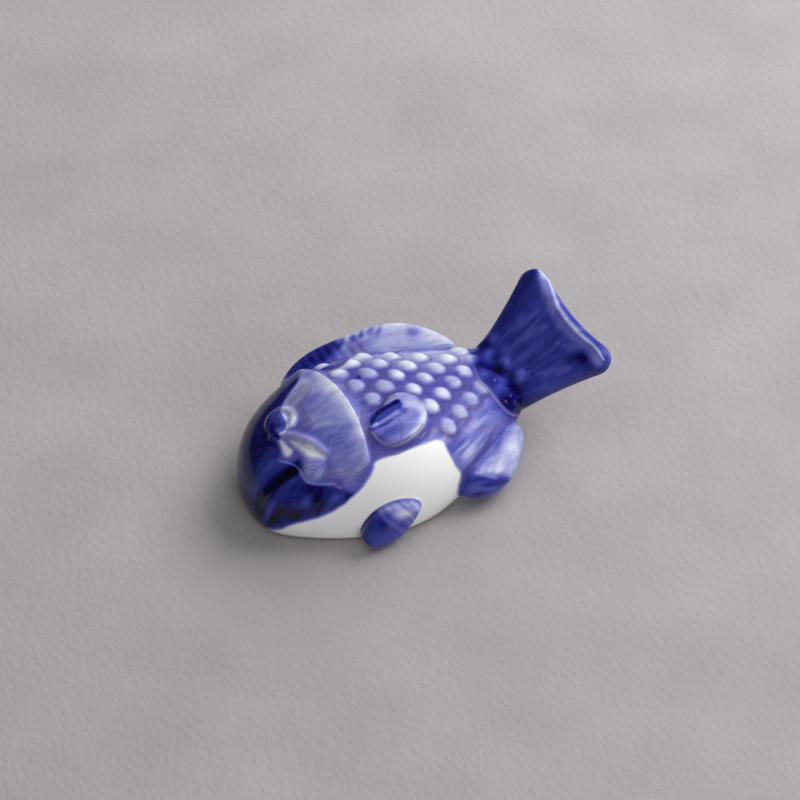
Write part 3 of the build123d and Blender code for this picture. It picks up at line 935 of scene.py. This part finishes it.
def paint(points, normals, votes, edges, cavity, centres):
    """The whole painting, in the order a decorator lays it."""
    painting = Painting(points, normals, votes)
    base_tones(painting, edges)
    paint_far_side(painting, points)
    paint_scales(painting, points, centres)
    paint_rear(painting)
    paint_tail(painting, points)
    paint_back(painting)
    paint_dorsal(painting)
    paint_forehead(painting)
    paint_jaw(painting)
    paint_cheek(painting)
    paint_eye(painting)
    paint_gill_cover(painting)
    paint_pectoral(painting)
    paint_lower_fins(painting)
    brush_out(painting, points, cavity)
    paint_belly(painting)
    painting.cobalt = np.clip(painting.cobalt, 0, 1)
    return painting


# Pieces

def make_piece(name, points, quads, normals, painting):
    """The stretch of skin over one solid, with its paint, as a piece of its own."""
    used, corners = np.unique(quads, return_inverse=True)
    mesh = bpy.data.meshes.new(name + "_skin")
    mesh.from_pydata((points[used] * METRES).tolist(), [], corners.reshape(-1, 4).tolist())
    for attribute, values in (("cobalt", painting.cobalt), ("lines", painting.lines)):
        layer = mesh.attributes.new(attribute, "FLOAT", "POINT")
        layer.data.foreach_set("value", values[used].astype(np.float32))
    mesh.shade_smooth()
    mesh.normals_split_custom_set_from_vertices(normals[used].tolist())
    piece = bpy.data.objects.new(name + "_skin", mesh)
    bpy.context.scene.collection.objects.link(piece)
    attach(piece, "root")
    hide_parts(name)
    return piece


def settled_votes(labels, edges):
    """The share of every solid in the neighbourhood of every point, which straightens their borders."""
    votes = np.eye(len(node_names))[labels]
    return softened(votes, edges, border_vote)


# Materials

def linear(colour):
    """A colour written in sRGB, from 0 to 255, as the light that it stands for."""
    share = np.array(colour) / 255
    light = np.where(share > 0.04045, ((share + 0.055) / 1.055) ** 2.4, share / 12.92)
    return (*light, 1.0)


def shaded(colour, change):
    """A colour made lighter or darker."""
    return [value + change for value in colour]


def new_material(name):
    """A new material, its nodes and its surface shader."""
    material = bpy.data.materials.new(name)
    material.use_nodes = True
    return material, material.node_tree, material.node_tree.nodes["Principled BSDF"]


def object_place(tree):
    """The place of a point on its piece, in metres."""
    return tree.nodes.new("ShaderNodeTexCoord").outputs["Object"]


def painted_load(tree, attribute):
    """A load that was painted on the skin."""
    node = tree.nodes.new("ShaderNodeAttribute")
    node.attribute_name = attribute
    return node.outputs["Fac"]


def add_noise(tree, place, scale, detail):
    """Fine noise between 0 and 1."""
    node = tree.nodes.new("ShaderNodeTexNoise")
    node.inputs["Scale"].default_value = scale
    node.inputs["Detail"].default_value = detail
    tree.links.new(place, node.inputs["Vector"])
    return node.outputs["Fac"]


def add_math(tree, operation, *values):
    """A calculation on numbers and on what other nodes give."""
    node = tree.nodes.new("ShaderNodeMath")
    node.operation = operation
    for socket, value in zip(node.inputs, values):
        if isinstance(value, bpy.types.NodeSocket):
            tree.links.new(value, socket)
        else:
            socket.default_value = value
    return node.outputs[0]


def add_tones(tree, factor, stops):
    """The colour at a factor between stops, each a position and a colour in sRGB."""
    node = tree.nodes.new("ShaderNodeValToRGB")
    ramp = node.color_ramp
    for position, _ in stops[1:-1]:
        ramp.elements.new(position)
    for element, (position, colour) in zip(ramp.elements, stops):
        element.position = position
        element.color = linear(colour)
    tree.links.new(factor, node.inputs["Fac"])
    return node.outputs["Color"]


def glaze_material(name):
    """Clear gloss glaze over cobalt brushwork: the loads painted on the skin choose the tone."""
    material, tree, surface = new_material(name)
    cobalt = painted_load(tree, "cobalt")
    grain = add_noise(tree, object_place(tree), glaze_grain, 3)
    centred = add_math(tree, "MULTIPLY_ADD", grain, grain_depth, -grain_depth / 2)
    loaded = add_math(tree, "MULTIPLY", centred, cobalt)
    tones = add_tones(tree, add_math(tree, "ADD", cobalt, loaded), cobalt_tones)
    mixed = tree.nodes.new("ShaderNodeMix")
    mixed.data_type = "RGBA"
    mixed.inputs["B"].default_value = linear(line_colour)
    tree.links.new(painted_load(tree, "lines"), mixed.inputs["Factor"])
    tree.links.new(tones, mixed.inputs["A"])
    tree.links.new(mixed.outputs["Result"], surface.inputs["Base Color"])
    surface.inputs["Roughness"].default_value = 0.14
    surface.inputs["IOR"].default_value = 1.42
    return material


def clay_material(name):
    """Bare fired porcelain, matt and a little sandy."""
    material, tree, surface = new_material(name)
    sand = add_noise(tree, object_place(tree), clay_sand, 4)
    darker = shaded(clay_colour, -clay_contrast)
    tones = add_tones(tree, sand, list(zip(grain_span, (darker, clay_colour))))
    tree.links.new(tones, surface.inputs["Base Color"])
    surface.inputs["Roughness"].default_value = 0.75
    return material


def floor_material():
    """Pale grey plaster, trowelled and a little mottled."""
    material, tree, surface = new_material("floor_plaster")
    place = object_place(tree)
    mottle = add_noise(tree, place, floor_mottle, 4)
    darker = shaded(floor_colour, -floor_contrast)
    lighter = shaded(floor_colour, floor_contrast)
    tones = add_tones(tree, mottle, list(zip(grain_span, (darker, lighter))))
    tree.links.new(tones, surface.inputs["Base Color"])
    drag = tree.nodes.new("ShaderNodeMapping")
    drag.inputs["Rotation"].default_value = (0, 0, math.radians(25))
    drag.inputs["Scale"].default_value = (1, 0.6, 1)
    tree.links.new(place, drag.inputs["Vector"])
    bump = tree.nodes.new("ShaderNodeBump")
    bump.inputs["Strength"].default_value = 0.22
    bump.inputs["Distance"].default_value = 0.0006
    tree.links.new(add_noise(tree, drag.outputs["Vector"], floor_grain, 6), bump.inputs["Height"])
    tree.links.new(bump.outputs["Normal"], surface.inputs["Normal"])
    surface.inputs["Roughness"].default_value = 0.85
    return material


# Stage

def add_floor():
    """A plain square floor under the rest."""
    half = 1.2
    corners = [(-half, -half, 0), (half, -half, 0), (half, half, 0), (-half, half, 0)]
    mesh = bpy.data.meshes.new("floor")
    mesh.from_pydata(corners, [], [(0, 1, 2, 3)])
    mesh.materials.append(floor_material())
    floor = bpy.data.objects.new("floor", mesh)
    bpy.context.scene.collection.objects.link(floor)


def aim(thing, target):
    """Turns a lamp or a camera to look at a target."""
    thing.rotation_euler = (Vector(target) - thing.location).to_track_quat("-Z", "Y").to_euler()


def add_light(name, place, size, power, reflected):
    """A round soft light that looks at the origin, with or without a reflection in the glaze."""
    lamp = bpy.data.lights.new(name, "AREA")
    lamp.shape = "DISK"
    lamp.size = size
    lamp.energy = power
    light = bpy.data.objects.new(name, lamp)
    light.location = place
    light.visible_glossy = reflected
    aim(light, (0, 0, 0))
    bpy.context.scene.collection.objects.link(light)


def add_lights():
    """Two windows, a small gleam, a low card in front, a lamp overhead and a dim room."""
    upward = np.array([0.0, 0.0, 1.0])
    away = np.cross(upward, view_right)
    for name, ((to_right, to_back, height), size, power, reflected) in lamps.items():
        place = to_right * view_right + to_back * away + height * upward
        add_light(name, place, size, power, reflected)
    world = bpy.data.worlds.new("room")
    world.use_nodes = True
    background = world.node_tree.nodes["Background"]
    background.inputs["Color"].default_value = linear(room_colour)
    background.inputs["Strength"].default_value = room_strength
    bpy.context.scene.world = world


def add_camera():
    """The photograph's view, turned so that the origin falls on its pixel."""
    lens = bpy.data.cameras.new("camera")
    lens.sensor_width = 36
    lens.lens = lens.sensor_width * view_distance / (photo_size * pixel_size)
    lens.clip_start = 0.01
    camera = bpy.data.objects.new("camera", lens)
    camera.location = to_viewer * view_distance * METRES
    offset = (np.full(2, photo_size / 2) - origin_pixel) * pixel_size * METRES
    aim(camera, view_right * offset[0] - view_up * offset[1])
    bpy.context.scene.collection.objects.link(camera)
    bpy.context.scene.camera = camera


# Assembly

def build_skin():
    """The glazed and painted skin, as one piece for each solid."""
    solids = solid_meshes()
    solid_points, triangles, owners = joined(solids)
    points, quads = skin_over(solid_points, triangles)
    edges = edges_of(quads)
    votes = settled_votes(nearest_solids(points, solid_points, triangles, owners), edges)
    points = pooled(points, quads, edges)
    for fill in GLAZE_FILLS:
        points = filled(points, quads, edges, *fill)
    points = softened(points, edges, glaze_softness)
    normals = outward(points, quads)
    cavity = np.einsum("ij,ij->i", softened(points, edges, cavity_reach) - points, normals)
    painting = paint(points, normals, votes, edges, cavity, scale_centres(solids))
    glaze = glaze_material("painted_glaze")
    clay = clay_material("bare_porcelain")
    faces = votes[quads].sum(axis=1).argmax(axis=1)
    for number, name in enumerate(node_names):
        piece = make_piece(name, points, quads[faces == number], normals, painting)
        piece.data.materials.append(clay if name == "foot" else glaze)


build_skin()
add_floor()
add_lights()
add_camera()
bpy.context.scene.view_settings.view_transform = "Standard"
